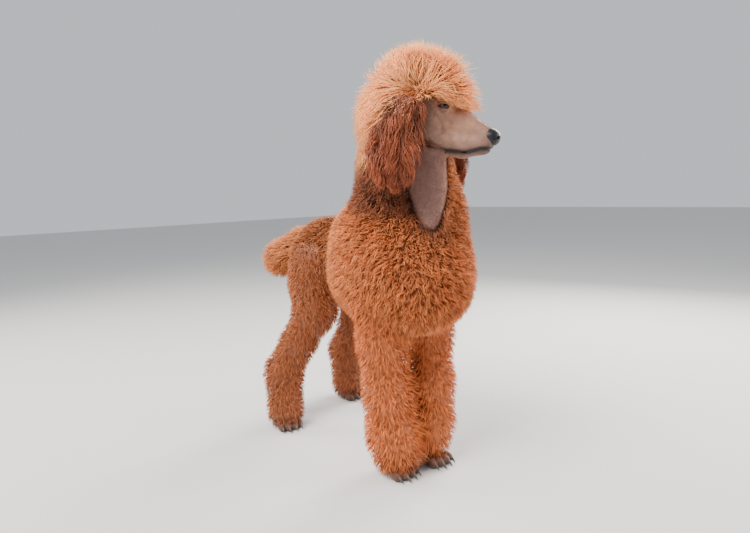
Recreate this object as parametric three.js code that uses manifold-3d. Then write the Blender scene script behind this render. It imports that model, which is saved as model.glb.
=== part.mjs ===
// A standing standard poodle at life size, in millimetres, out to the tips of its coat.
// The dog faces -Y with +X on its left and +Z up, and its head is turned to its left.
// Each part of the body is a smooth field of rounded masses. A net of small faces is drawn over the
// field, and thin plane cuts part the dog where a person would name its parts.
import * as THREE from "three";
import Module from "manifold-3d";

const wasm = await Module();
wasm.setup();

// Driving sizes
const gap = 0.3;
const eyeRadius = 11.5;
const clawLength = 14;
const clawRadius = 4.5;
const toeRadii = new THREE.Vector3(11, 21, 14);

// Sizes of the cells that the surface nets are drawn with
const bodyCell = 44;
const limbCell = 34;
const pawCell = 28;
const topknotCell = 34;
const earCell = 25;
const faceCell = 16;
const noseCell = 8.5;

// Heights and places at which the dog is cut into its parts
const elbowHeight = 290;
const wristHeight = 66;
const stifleHeight = 372;
const heelHeight = 72;
const lastRib = 256;
const tailStart = 468;

const at = (x, y, z) => new THREE.Vector3(x, y, z);
const up = at(0, 0, 1);
const ahead = at(0, -1, 0);
const behind = at(0, 1, 0);

// Where the joints of the skeleton lie on the dog's right and on its left
const right = {
  name: "right",
  side: -1,
  elbow: at(-71, 34, 330),
  forearm: at(-67, 24, 200),
  wrist: at(-63, 12, 100),
  forepaw: at(-58, 0, 0),
  forepawTurn: 0,
  cuffRadius: 64,
  earSwing: 0,
  hip: at(-70, 345, 500),
  stifle: at(-88, 330, 365),
  shin: at(-112, 400, 262),
  hock: at(-136, 456, 170),
  hindpaw: at(-140, 440, 0),
  hindpawTurn: -0.15,
};
const left = {
  name: "left",
  side: 1,
  elbow: at(72, 26, 330),
  forearm: at(66, 14, 200),
  wrist: at(59, 6, 100),
  forepaw: at(50, -2, 0),
  forepawTurn: 0.05,
  cuffRadius: 54,
  earSwing: 56,
  hip: at(70, 355, 500),
  stifle: at(98, 372, 365),
  shin: at(124, 462, 262),
  hock: at(138, 544, 170),
  hindpaw: at(140, 530, 0),
  hindpawTurn: 0.2,
};
const sides = [right, left];

// The head's own frame lies midway between the eyes: +X to the dog's left, -Y along the muzzle.
const headTurn = THREE.MathUtils.degToRad(33);
const headDrop = THREE.MathUtils.degToRad(11);
const head = new THREE.Group();
head.position.set(17, -110, 869);
head.rotation.order = "ZXY";
head.rotation.set(headDrop, 0, headTurn);
head.updateMatrixWorld(true);

// Fields: each gives about the distance in millimetres from a point to a surface, negative inside.
const egg = (centre, radii, tilt = 0) => {
  const cos = Math.cos(tilt);
  const sin = Math.sin(tilt);
  return (x, y, z) => {
    const across = y - centre.y;
    const rise = z - centre.z;
    const dx = (x - centre.x) / radii.x;
    const dy = (across * cos + rise * sin) / radii.y;
    const dz = (rise * cos - across * sin) / radii.z;
    const r = Math.hypot(dx, dy, dz);
    const slope = Math.hypot(dx / radii.x, dy / radii.y, dz / radii.z);
    return slope < 1e-9 ? -Math.min(radii.x, radii.y, radii.z) : (r * (r - 1)) / slope;
  };
};

const limb = (a, b, radiusA, radiusB) => {
  const line = b.clone().sub(a);
  const length2 = line.lengthSq();
  return (x, y, z) => {
    const px = x - a.x;
    const py = y - a.y;
    const pz = z - a.z;
    const t = THREE.MathUtils.clamp((px * line.x + py * line.y + pz * line.z) / length2, 0, 1);
    return Math.hypot(px - line.x * t, py - line.y * t, pz - line.z * t) - radiusA - (radiusB - radiusA) * t;
  };
};

const smoothMin = (a, b, softness) => {
  const h = Math.max(softness - Math.abs(a - b), 0) / softness;
  return Math.min(a, b) - (h * h * softness) / 4;
};
const blend = (softness, first, ...rest) => (x, y, z) =>
  rest.reduce((d, field) => smoothMin(d, field(x, y, z), softness), first(x, y, z));
const carve = (field, tool, softness) => (x, y, z) =>
  -smoothMin(-field(x, y, z), tool(x, y, z), softness);
const grow = (field, by) => (x, y, z) => field(x, y, z) - by;

// A chain of limbs through joints, each joint a [point, radius]
const chain = (softness, joints) =>
  blend(
    softness,
    ...joints.slice(1).map(([point, radius], i) => limb(joints[i][0], point, joints[i][1], radius)),
  );

// A field given in the frame of a matrix, read at a place in the world
const placed = (matrix, field) => {
  const e = matrix.clone().invert().elements;
  return (x, y, z) =>
    field(
      e[0] * x + e[4] * y + e[8] * z + e[12],
      e[1] * x + e[5] * y + e[9] * z + e[13],
      e[2] * x + e[6] * y + e[10] * z + e[14],
    );
};

const solid = (vertProperties, triVerts) =>
  new wasm.Manifold(new wasm.Mesh({ numProp: 3, vertProperties, triVerts }));

// Draws a closed net of faces over a field: one point in each crossed cell, one quad on each crossed
// edge. The outermost points count as outside, so the net closes where the field runs out of the box.
function netOver(field, low, high, cell) {
  const counts = ["x", "y", "z"].map((axis) => Math.ceil((high[axis] - low[axis]) / cell) + 1);
  const [nx, ny, nz] = counts;
  const index = (i, j, k) => (k * ny + j) * nx + i;
  const values = new Float32Array(nx * ny * nz);
  for (let k = 0; k < nz; k++)
    for (let j = 0; j < ny; j++)
      for (let i = 0; i < nx; i++)
        values[index(i, j, k)] =
          i * j * k === 0 || i === nx - 1 || j === ny - 1 || k === nz - 1
            ? cell
            : field(low.x + i * cell, low.y + j * cell, low.z + k * cell);
  fillPinches(values, counts, index);

  const corners = [0, 1, 2, 3, 4, 5, 6, 7].map((c) => [c & 1, (c >> 1) & 1, (c >> 2) & 1]);
  const apart = (a, b) => a.reduce((sum, v, axis) => sum + Math.abs(v - b[axis]), 0);
  const edges = corners.flatMap((a, m) =>
    corners.flatMap((b, n) => (n > m && apart(a, b) === 1 ? [[m, n]] : [])),
  );
  const points = [];
  const pointOf = new Map();
  for (let k = 0; k < nz - 1; k++)
    for (let j = 0; j < ny - 1; j++)
      for (let i = 0; i < nx - 1; i++) {
        const v = corners.map(([a, b, c]) => values[index(i + a, j + b, k + c)]);
        const crossed = edges.filter(([m, n]) => v[m] > 0 !== v[n] > 0);
        if (crossed.length === 0) continue;
        const sum = [0, 0, 0];
        for (const [m, n] of crossed) {
          const t = v[m] / (v[m] - v[n]);
          sum.forEach((_, axis) => (sum[axis] += corners[m][axis] * (1 - t) + corners[n][axis] * t));
        }
        const [x, y, z] = sum.map((s) => s / crossed.length);
        pointOf.set(index(i, j, k), points.length / 3);
        points.push(low.x + (i + x) * cell, low.y + (j + y) * cell, low.z + (k + z) * cell);
      }

  const faces = [];
  const quad = (cells, flip) => {
    const [p, q, r, s] = cells.map(([i, j, k]) => pointOf.get(index(i, j, k)));
    faces.push(...(flip ? [p, r, q, p, s, r] : [p, q, r, p, r, s]));
  };
  for (let k = 0; k < nz - 1; k++)
    for (let j = 0; j < ny - 1; j++)
      for (let i = 0; i < nx - 1; i++) {
        const here = values[index(i, j, k)] > 0;
        if (here !== values[index(i + 1, j, k)] > 0)
          quad([[i, j - 1, k - 1], [i, j, k - 1], [i, j, k], [i, j - 1, k]], here);
        if (here !== values[index(i, j + 1, k)] > 0)
          quad([[i - 1, j, k - 1], [i - 1, j, k], [i, j, k], [i, j, k - 1]], here);
        if (here !== values[index(i, j, k + 1)] > 0)
          quad([[i - 1, j - 1, k], [i, j - 1, k], [i, j, k], [i - 1, j, k]], here);
      }
  return solid(new Float32Array(points), new Uint32Array(faces));
}

// Where a grid square has solid at two opposite corners only, a third corner is filled, so that no
// two sheets of the net share an edge.
function fillPinches(values, [nx, ny, nz], index) {
  const [stepX, stepY, stepZ] = [index(1, 0, 0), index(0, 1, 0), index(0, 0, 1)];
  const planes = [[stepX, stepY], [stepY, stepZ], [stepZ, stepX]];
  const barelyInside = -0.01;
  let filled = true;
  while (filled) {
    filled = false;
    for (let k = 0; k < nz - 1; k++)
      for (let j = 0; j < ny - 1; j++)
        for (let i = 0; i < nx - 1; i++)
          for (const [a, b] of planes) {
            const c = index(i, j, k);
            const square = [c, c + a, c + b, c + a + b];
            const [p, q, r, s] = square.map((m) => values[m] > 0);
            if (p !== s || q !== r || p === q) continue;
            const open = p ? [square[0], square[3]] : [square[1], square[2]];
            values[values[open[0]] < values[open[1]] ? open[0] : open[1]] = barelyInside;
            filled = true;
          }
  }
}

function fromGeometry(geometry) {
  const bare = geometry.index ? geometry.toNonIndexed() : geometry;
  const places = bare.getAttribute("position");
  const seen = new Map();
  const points = [];
  const corners = [];
  for (let i = 0; i < places.count; i++) {
    const xyz = [places.getX(i), places.getY(i), places.getZ(i)];
    const key = xyz.map((v) => Math.round(v * 1000)).join();
    if (!seen.has(key)) {
      seen.set(key, points.length / 3);
      points.push(...xyz);
    }
    corners.push(seen.get(key));
  }
  const faces = [];
  for (let i = 0; i < corners.length; i += 3) {
    const [a, b, c] = corners.slice(i, i + 3);
    if (a !== b && b !== c && c !== a) faces.push(a, b, c);
  }
  return solid(new Float32Array(points), new Uint32Array(faces));
}

function moved(body, matrix) {
  const { vertProperties, triVerts } = body.getMesh();
  return solid(new THREE.BufferAttribute(vertProperties, 3).applyMatrix4(matrix).array, triVerts);
}

// What is left of a solid on the side of a plane that the normal points to, half a gap clear of it
const blockSize = 3000;
function keep(body, point, normal) {
  const block = new THREE.BoxGeometry(blockSize, blockSize, blockSize);
  block.translate(0, 0, blockSize / 2 + gap / 2);
  block.applyQuaternion(new THREE.Quaternion().setFromUnitVectors(up, normal.clone().normalize()));
  block.translate(point.x, point.y, point.z);
  return body.intersect(fromGeometry(block));
}
const cutOff = (body, point, normal) => keep(body, point, normal.clone().negate());
const above = (body, height) => keep(body, at(0, 0, height), up);
const below = (body, height) => cutOff(body, at(0, 0, height), up);
const keepSide = (body, side) => keep(body, at(0, 0, 0), at(side, 0, 0));
const clearOf = (body, others) => others.reduce((rest, other) => rest.subtract(other), body);

// The largest piece, so that no crumb left by a cut is kept
const largest = (body) =>
  body.decompose().reduce((best, piece) => (piece.volume() > best.volume() ? piece : best));

const dog = new THREE.Group();
function add(name, body, colour, roughness = 0.95) {
  const drawn = largest(body).getMesh();
  const geometry = new THREE.BufferGeometry();
  geometry.setAttribute("position", new THREE.BufferAttribute(drawn.vertProperties, 3));
  geometry.setIndex(new THREE.BufferAttribute(drawn.triVerts, 1));
  geometry.computeVertexNormals();
  const material = new THREE.MeshStandardMaterial({ color: colour, roughness, metalness: 0 });
  const mesh = new THREE.Mesh(geometry, material);
  mesh.name = name;
  dog.add(mesh);
}

const jacketColour = 0xb8683a;
const legColour = 0xb05c30;
const topknotColour = 0xd08a58;
const earColour = 0x99502c;
const faceColour = 0x8a6a58;
const leatherColour = 0x25242a;
const hornColour = 0x2c221e;

// The trunk: the long jacket over ribs and forechest, then loin and rump under a short coat
const ribs = egg(at(0, 88, 488), at(154, 184, 148));
const forechest = egg(at(0, -10, 510), at(147, 150, 142));
const brisket = egg(at(0, -52, 448), at(90, 84, 80));
const shoulders = egg(at(0, 72, 594), at(144, 160, 100));
const jacket = blend(70, ribs, forechest, brisket, shoulders);
const loin = limb(at(0, 190, 520), at(0, 370, 526), 98, 92);
const rump = egg(at(0, 372, 530), at(112, 96, 88));
const trunk = blend(16, jacket, blend(40, loin, rump));

const foreleg = (s) =>
  chain(30, [
    [at(s.side * 74, 30, 430), 68],
    [s.elbow, 64],
    [s.forearm, 62],
    [s.wrist, s.cuffRadius + 4],
    [at(s.forepaw.x - s.side * 2, s.forepaw.y + 8, 48), s.cuffRadius],
  ]);
const ham = (s) => egg(s.hip.clone().add(at(0, 52, -62)), at(62, 79, 95));
const hindleg = (s) =>
  chain(36, [
    [s.hip, 82],
    [s.stifle, 62],
    [s.shin, 53],
    [s.hock, 57],
    [at(s.hindpaw.x, s.hindpaw.y + 10, 50), 61],
  ]);
const thighAndLeg = (s) => blend(30, hindleg(s), ham(s));
const tail = chain(20, [
  [at(0, 430, 560), 40],
  [at(-26, 496, 536), 59],
  [at(-68, 572, 494), 62],
]);

// The neck, thickly coated behind and at its sides, and clipped bare down the throat
const crest = chain(40, [
  [at(6, 22, 580), 124],
  [at(-12, 30, 662), 105],
  [at(-22, 12, 760), 98],
]);
const throat = limb(at(14, -68, 602), at(2, -72, 780), 72, 56);
const fold = egg(at(60, -62, 636), at(54, 52, 78));
const clippedThroat = limb(at(34, -186, 790), at(12, -196, 660), 56, 34);
const neck = carve(blend(40, crest, throat, fold), clippedThroat, 26);

// The topknot: a dome combed up and forward over the eyes, open where the clipped face comes out
const dome = egg(at(0, 55, -16), at(126, 151, 144), -0.08);
const browHeight = 22;
const browTilt = 0.22;
const openingDepth = 34;
const faceOpening = (x, y, z) => Math.max(z - browHeight - browTilt * (y + 60), y - openingDepth);
const topknot = carve(dome, faceOpening, 16);

// The clipped face: skull, cheeks, a long fine muzzle and its lower jaw
const skull = egg(at(0, 46, 2), at(50, 74, 44));
const cheek = (side) => egg(at(side * 32, 30, -42), at(21, 44, 36));
const bridge = chain(18, [
  [at(0, 6, -22), 29],
  [at(0, -48, -29), 26.5],
  [at(0, -102, -47), 20.5],
]);
const lip = (side) =>
  chain(12, [
    [at(side * 15, 2, -68), 20],
    [at(side * 13, -58, -71), 18],
    [at(side * 8, -112, -63), 13.5],
  ]);
const lowerJaw = chain(12, [
  [at(0, 30, -88), 22],
  [at(0, -58, -88), 13.5],
  [at(0, -108, -78), 9.5],
]);
const face = blend(14, skull, cheek(-1), cheek(1), bridge, lip(-1), lip(1), lowerJaw);
const noseLeather = egg(at(0, -117, -50), at(19, 19, 17.5), 0.2);

// An ear: a long leather feathered to a broad fall, hung from the side of the skull
const ear = (s) =>
  blend(
    40,
    egg(at(s.side * 98, 58 - s.earSwing / 2, -16), at(30, 54, 40)),
    egg(at(s.side * 110, 68 - s.earSwing, -92), at(30, 70, 62)),
    egg(at(s.side * 106, 60 - s.earSwing, -145), at(26, 56, 47)),
  );

const headMatrix = head.matrixWorld;
const neckBase = at(0, -30, 618);
const neckBaseSlope = at(0, -0.4, 1);
const headBase = at(-10, -40, 756);
const headBaseSlope = at(0, -0.1, 1).transformDirection(headMatrix);

// The ears come first, because the topknot and the neck are cut round them.
const earLow = at(-170, -70, -250);
const earHigh = at(160, 190, 60);
const seatGap = 2.5;
const earNet = (s, by) => moved(netOver(grow(ear(s), by), earLow, earHigh, earCell), headMatrix);
const earRooms = sides.map((s) => earNet(s, 2 * seatGap));
sides.forEach((s) => add(`ear_${s.name}`, earNet(s, 0), earColour));

// The eyes and the nose, and the sockets and the seat that they fill
const ball = (s, radius) => {
  const sphere = new THREE.SphereGeometry(radius, 9, 6).translate(s.side * 33, -6, -1);
  return fromGeometry(sphere.applyMatrix4(headMatrix));
};
const eyeSockets = sides.map((s) => ball(s, eyeRadius + gap));
sides.forEach((s) => add(`eye_${s.name}`, ball(s, eyeRadius), leatherColour, 0.1));
const noseNet = (by) =>
  moved(netOver(grow(noseLeather, by), at(-34, -152, -86), at(34, -86, -14), noseCell), headMatrix);
add("nose", noseNet(0), leatherColour, 0.4);

// Topknot and face. The face is cut back to the hairline and parted along the mouth.
const hairLow = at(-260, -320, 560);
const hairHigh = at(260, 220, 1060);
const upperField = blend(30, neck, placed(headMatrix, topknot));
const hairNet = (by) => netOver(grow(upperField, by), hairLow, hairHigh, topknotCell);
const topknotBody = keep(hairNet(0), headBase, headBaseSlope);
add("topknot", clearOf(topknotBody, [...earRooms, ...eyeSockets]), topknotColour);
const faceNet = moved(netOver(face, at(-90, -150, -140), at(90, 60, 60), faceCell), headMatrix);
const bareFace = clearOf(faceNet, [hairNet(seatGap), noseNet(seatGap), ...earRooms, ...eyeSockets]);
const mouth = at(0, 0, -90).applyMatrix4(headMatrix);
const mouthSlope = at(0, 0.12, 1).transformDirection(headMatrix);
add("face", keep(bareFace, mouth, mouthSlope), faceColour);
add("lower_jaw", cutOff(bareFace, mouth, mouthSlope), faceColour);

// Neck, trunk and tail
const bodyLow = at(-320, -320, 200);
const bodyHigh = at(320, 720, 900);
const standing = blend(40, trunk, neck, ...sides.map(foreleg), ...sides.map(thighAndLeg));
const bodyNet = netOver(blend(20, standing, tail), bodyLow, bodyHigh, bodyCell);
const neckBody = cutOff(keep(bodyNet, neckBase, neckBaseSlope), headBase, headBaseSlope);
add("neck", clearOf(neckBody, earRooms), jacketColour);
const trunkBody = cutOff(bodyNet, neckBase, neckBaseSlope);
const ribLine = at(0, lastRib, 0);
const tailLine = at(0, tailStart, 0);
add("chest", clearOf(above(keep(trunkBody, ribLine, ahead), elbowHeight), earRooms), jacketColour);
add("hindquarters", above(keep(keep(trunkBody, ribLine, behind), tailLine, ahead), stifleHeight), legColour);
const tailNet = netOver(tail, at(-200, 380, 400), at(120, 720, 700), limbCell);
add("tail", keep(tailNet, tailLine, behind), topknotColour);

// A paw's frame lies at the middle of its sole, turned about the upright axis.
function addPaw(name, leg, place, turn, top, toesAhead) {
  const frame = new THREE.Matrix4().makeRotationZ(turn).setPosition(place);
  const toePlaces = [-28, -10, 10, 28].map((x) => at(x, toesAhead + Math.abs(x) * 0.45, 13));
  const toe = (centre) => {
    const ball = new THREE.SphereGeometry(1, 6, 4).scale(...toeRadii).translate(...centre);
    return fromGeometry(ball.applyMatrix4(frame));
  };
  const reach = at(110, 110, 0);
  const low = place.clone().sub(reach).setZ(-60);
  const high = place.clone().add(reach).setZ(top + 3 * pawCell);
  const claw = (centre, by) => {
    const cone = new THREE.ConeGeometry(clawRadius + by, clawLength + 2 * by, 7);
    cone.translate(0, clawLength / 2, 0);
    const aim = at(centre.x * 0.006, -1, -0.42).normalize();
    cone.applyQuaternion(new THREE.Quaternion().setFromUnitVectors(at(0, 1, 0), aim));
    cone.translate(centre.x, centre.y - toeRadii.y + 5, centre.z - 1);
    return fromGeometry(cone.applyMatrix4(frame));
  };
  const bare = netOver(leg, low, high, pawCell);
  const withToes = toePlaces.reduce((body, centre) => body.add(toe(centre)), bare);
  const paw = above(below(keepSide(withToes, place.x), top), -gap / 2);
  add(name, clearOf(paw, toePlaces.map((centre) => claw(centre, gap))), legColour);
  toePlaces.forEach((centre, i) => add(`${name}_claw_${i + 1}`, claw(centre, 0), hornColour, 0.5));
}

// Legs and paws. Each side is drawn alone, so that the legs stand clear of each other.
const foreLow = at(-180, -140, 0);
const foreHigh = at(180, 160, 340);
const hindLow = at(-240, 200, 0);
const hindHigh = at(240, 640, 420);
for (const s of sides) {
  const fore = blend(40, trunk, foreleg(s));
  const foreBody = above(below(netOver(fore, foreLow, foreHigh, limbCell), elbowHeight), wristHeight);
  add(`foreleg_${s.name}`, keepSide(foreBody, s.side), legColour);
  addPaw(`forepaw_${s.name}`, fore, s.forepaw, s.forepawTurn, wristHeight, -36);
  const hind = blend(40, trunk, thighAndLeg(s));
  const hindBody = above(below(netOver(hind, hindLow, hindHigh, limbCell), stifleHeight), heelHeight);
  add(`hindleg_${s.name}`, keepSide(hindBody, s.side), legColour);
  addPaw(`hindpaw_${s.name}`, hind, s.hindpaw, s.hindpawTurn, heelHeight, -33);
}

// The origin is put on the floor under the middle of the dog.
const box = new THREE.Box3().setFromObject(dog);
const middle = box.getCenter(new THREE.Vector3());
dog.children.forEach((mesh) => mesh.geometry.translate(-middle.x, -middle.y, -box.min.z));

export default dog;
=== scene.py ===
"""A life-size standing standard poodle: skin, face, eyes, nose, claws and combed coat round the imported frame.

Lengths are in millimetres until a mesh is made, because a dog's anatomy is easier to read that way.
"""

import logging
import math
from dataclasses import dataclass, field
from enum import Enum
from typing import Callable, Iterable, Sequence

import bmesh
import bpy
import numpy as np
from mathutils import Matrix, Vector
from mathutils.kdtree import KDTree

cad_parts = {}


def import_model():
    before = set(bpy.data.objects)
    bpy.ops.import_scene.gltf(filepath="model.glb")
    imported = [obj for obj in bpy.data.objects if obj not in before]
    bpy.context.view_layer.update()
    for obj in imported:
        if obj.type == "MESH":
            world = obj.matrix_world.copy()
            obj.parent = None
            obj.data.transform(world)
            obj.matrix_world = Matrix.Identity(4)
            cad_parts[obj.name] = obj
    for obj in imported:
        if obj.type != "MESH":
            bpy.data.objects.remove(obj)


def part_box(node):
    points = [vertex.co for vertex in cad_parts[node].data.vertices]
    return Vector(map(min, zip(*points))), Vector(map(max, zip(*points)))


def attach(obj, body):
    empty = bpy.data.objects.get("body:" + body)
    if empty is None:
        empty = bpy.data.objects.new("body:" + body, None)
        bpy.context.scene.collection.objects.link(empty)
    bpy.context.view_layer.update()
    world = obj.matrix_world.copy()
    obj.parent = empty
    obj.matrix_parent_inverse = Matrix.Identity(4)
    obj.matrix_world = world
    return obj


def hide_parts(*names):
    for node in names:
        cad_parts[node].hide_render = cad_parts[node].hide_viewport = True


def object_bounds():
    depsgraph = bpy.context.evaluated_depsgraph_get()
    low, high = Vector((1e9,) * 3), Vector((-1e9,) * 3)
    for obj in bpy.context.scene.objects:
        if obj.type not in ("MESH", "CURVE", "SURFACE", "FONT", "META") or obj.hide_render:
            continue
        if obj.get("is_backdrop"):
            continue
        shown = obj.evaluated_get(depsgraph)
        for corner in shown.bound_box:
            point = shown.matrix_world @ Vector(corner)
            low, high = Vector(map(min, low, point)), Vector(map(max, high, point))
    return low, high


log = logging.getLogger("poodle")

Array = np.ndarray
Field = Callable[[Array], Array]
Colour = tuple[float, float, float]

MM = 0.001
BODY = "root"
SEED = 20251
BAKE_MAP = "OFBake"
PATCH = 0.003  # how far across a tuft's patch is on the bake map
WAVES = 5  # how many waves make the wandering of a coat
WAVE_SIZE = 1.6  # how far their sum reaches, about


def vec(x: float, y: float, z: float) -> Array:
    """Returns a point or direction as an array."""
    return np.array([x, y, z], float)


def unit(v: Array) -> Array:
    """Returns vectors scaled to length one."""
    return v / np.maximum(np.linalg.norm(v, axis=-1, keepdims=True), 1e-9)


def ramp(x: Array, low: float, high: float) -> Array:
    """Returns a smooth step from 0 at low to 1 at high."""
    t = np.clip((x - low) / (high - low), 0, 1)
    return t * t * (3 - 2 * t)


# Fields: each gives about the distance in millimetres from points to a surface, negative inside.


def egg(centre: Array, radii: Array, tilt: float = 0.0) -> Field:
    """Makes the field of an ellipsoid.

    Args:
        centre: its middle.
        radii: its three radii.
        tilt: its turn about the X axis, in radians.

    Returns:
        The field.
    """
    cos, sin = math.cos(tilt), math.sin(tilt)

    def distance(p: Array) -> Array:
        """Returns the distance, scaled by the slope of the ellipsoid's own measure."""
        d = p - centre
        d = np.stack([d[:, 0], d[:, 1] * cos + d[:, 2] * sin, d[:, 2] * cos - d[:, 1] * sin], 1) / radii
        r = np.linalg.norm(d, axis=1)
        slope = np.linalg.norm(d / radii, axis=1)
        return r * (r - 1) / np.maximum(slope, 1e-6)

    return distance


def limb(a: Array, b: Array, radius_a: float, radius_b: float) -> Field:
    """Makes the field of a round limb from a to b."""
    line = b - a
    length2 = float(line @ line)

    def distance(p: Array) -> Array:
        """Returns the distance from the axis, less the radius there."""
        t = np.clip((p - a) @ line / length2, 0, 1)
        return np.linalg.norm(p - a - t[:, None] * line, axis=1) - radius_a - (radius_b - radius_a) * t

    return distance


def smooth_min(a: Array, b: Array, softness: float) -> Array:
    """Returns the lesser of two distances, rounded where they are close."""
    h = np.maximum(softness - np.abs(a - b), 0) / softness
    return np.minimum(a, b) - h * h * softness / 4


def blend(softness: float, *fields: Field) -> Field:
    """Joins fields with a soft seam."""

    def distance(p: Array) -> Array:
        """Returns the joined distance."""
        d = fields[0](p)
        for other in fields[1:]:
            d = smooth_min(d, other(p), softness)
        return d

    return distance


def carve(body: Field, tool: Field, softness: float) -> Field:
    """Cuts a tool out of a body with a soft edge."""
    return lambda p: -smooth_min(-body(p), tool(p), softness)


def chain(softness: float, joints: Sequence[tuple[Array, float]]) -> Field:
    """Makes a chain of limbs through joints, each a point and a radius."""
    links = [limb(a, b, ra, rb) for (a, ra), (b, rb) in zip(joints, joints[1:])]
    return blend(softness, *links)


def slopes(body: Field, p: Array, step: float = 0.8) -> Array:
    """Returns the field's slope at points, by differences along each axis."""
    here = body(p)
    return np.stack([(body(p + step * axis) - here) / step for axis in np.eye(3)], 1)


@dataclass(frozen=True)
class Pose:
    """A frame of its own inside the dog, such as the head's or a paw's."""

    origin: Array
    axes: Array

    @staticmethod
    def turned(origin: Array, turn: float, drop: float = 0.0) -> "Pose":
        """Makes a frame turned about the upright axis, then tipped about its own X axis."""
        c, s = math.cos(turn), math.sin(turn)
        upright = np.array([[c, -s, 0], [s, c, 0], [0, 0, 1]])
        c, s = math.cos(drop), math.sin(drop)
        tipped = np.array([[1, 0, 0], [0, c, -s], [0, s, c]])
        return Pose(origin, upright @ tipped)

    def local(self, p: Array) -> Array:
        """Returns points of the dog in this frame."""
        return (p - self.origin) @ self.axes

    def world(self, p: Array) -> Array:
        """Returns points of this frame in the dog's."""
        return p @ self.axes.T + self.origin

    def direction(self, d: Array) -> Array:
        """Returns a direction of this frame in the dog's."""
        return d @ self.axes.T

    def place(self, body: Field) -> Field:
        """Returns a field of this frame as a field of the dog."""
        return lambda p: body(self.local(p))


@dataclass(frozen=True)
class Depths:
    """How deep the skin lies under the tips of the coat, zone by zone."""

    topknot: float = 0.0
    ear: float = 0.0
    neck: float = 0.0
    throat: float = 0.0
    jacket: float = 0.0
    rear: float = 0.0
    foreleg: float = 0.0
    hindleg: float = 0.0
    tail: float = 0.0
    toe: float = 0.0


@dataclass(frozen=True)
class Side:
    """Where the joints of one side of the dog lie."""

    name: str
    side: int
    elbow: Array
    forearm: Array
    wrist: Array
    forepaw: Array
    forepaw_turn: float
    cuff_radius: float
    ear_swing: float
    hip: Array
    stifle: Array
    shin: Array
    hock: Array
    hindpaw: Array
    hindpaw_turn: float


RIGHT = Side(
    name="right", side=-1,
    elbow=vec(-71, 34, 330), forearm=vec(-67, 24, 200), wrist=vec(-63, 12, 100), forepaw=vec(-58, 0, 0),
    forepaw_turn=0.0, cuff_radius=64.0, ear_swing=0.0,
    hip=vec(-70, 345, 500), stifle=vec(-88, 330, 365), shin=vec(-112, 400, 262), hock=vec(-136, 456, 170),
    hindpaw=vec(-140, 440, 0), hindpaw_turn=-0.15,
)
LEFT = Side(
    name="left", side=1,
    elbow=vec(72, 26, 330), forearm=vec(66, 14, 200), wrist=vec(59, 6, 100), forepaw=vec(50, -2, 0),
    forepaw_turn=0.05, cuff_radius=54.0, ear_swing=56.0,
    hip=vec(70, 355, 500), stifle=vec(98, 372, 365), shin=vec(124, 462, 262), hock=vec(138, 544, 170),
    hindpaw=vec(140, 530, 0), hindpaw_turn=0.2,
)
SIDES = (RIGHT, LEFT)
HEAD = Pose.turned(vec(17, -110, 869), math.radians(33), math.radians(11))
EYE_RADIUS = 11.5
ACROSS_CHEST = vec(0.85, -0.50, 0)  # the way that the throat's V is wide
AHEAD_OF_CHEST = vec(-0.50, -0.85, 0)
V_MIDDLE = 29.0
TAIL_LIE = vec(-42, 78, -46)
DOWNWARD = vec(0, 0, -1)
TOE_RADII = vec(11, 21, 14)
TOE_SPREAD = (-28, -10, 10, 28)
FORE_TOES_AHEAD = -36
HIND_TOES_AHEAD = -33


def eye_place(side: int) -> Array:
    """Returns the middle of an eyeball in the head's frame."""
    return vec(side * 33, -6, -1)


def face_opening(p: Array) -> Array:
    """Where the clipped face comes out of the topknot, under the brow and ahead of the cheeks."""
    return np.maximum(p[:, 2] - 12 - 0.22 * (p[:, 1] + 60), p[:, 1] - 34)


def under_fringe(p: Array) -> Array:
    """Where no hair of the fringe reaches, from the top of the eyes down."""
    return np.maximum(p[:, 2] - 2 + 0.10 * (p[:, 1] + 10), p[:, 1] - 34)


def bare_brow(p: Array) -> Array:
    """Where the scalp gives way to the face."""
    return np.maximum(p[:, 2] - 14 - 0.25 * p[:, 1], p[:, 1] - 40)


def clipped_v(p: Array) -> Array:
    """Returns 1 inside the V that is clipped bare down the throat, and 0 outside it."""
    across = p @ ACROSS_CHEST - V_MIDDLE
    half = 40 * np.sqrt(np.clip((p[:, 2] - 601) / 92, 0, 1))
    front = ramp(p @ AHEAD_OF_CHEST, 30, 44)
    below_jaw = (1 - ramp(p[:, 2], 792, 806)) * (1 - ramp(HEAD.local(p)[:, 2], -93, -82))
    height = ramp(p[:, 2], 598, 612) * below_jaw
    return (1 - ramp(np.abs(across) - half, -8, 10)) * front * height


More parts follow.
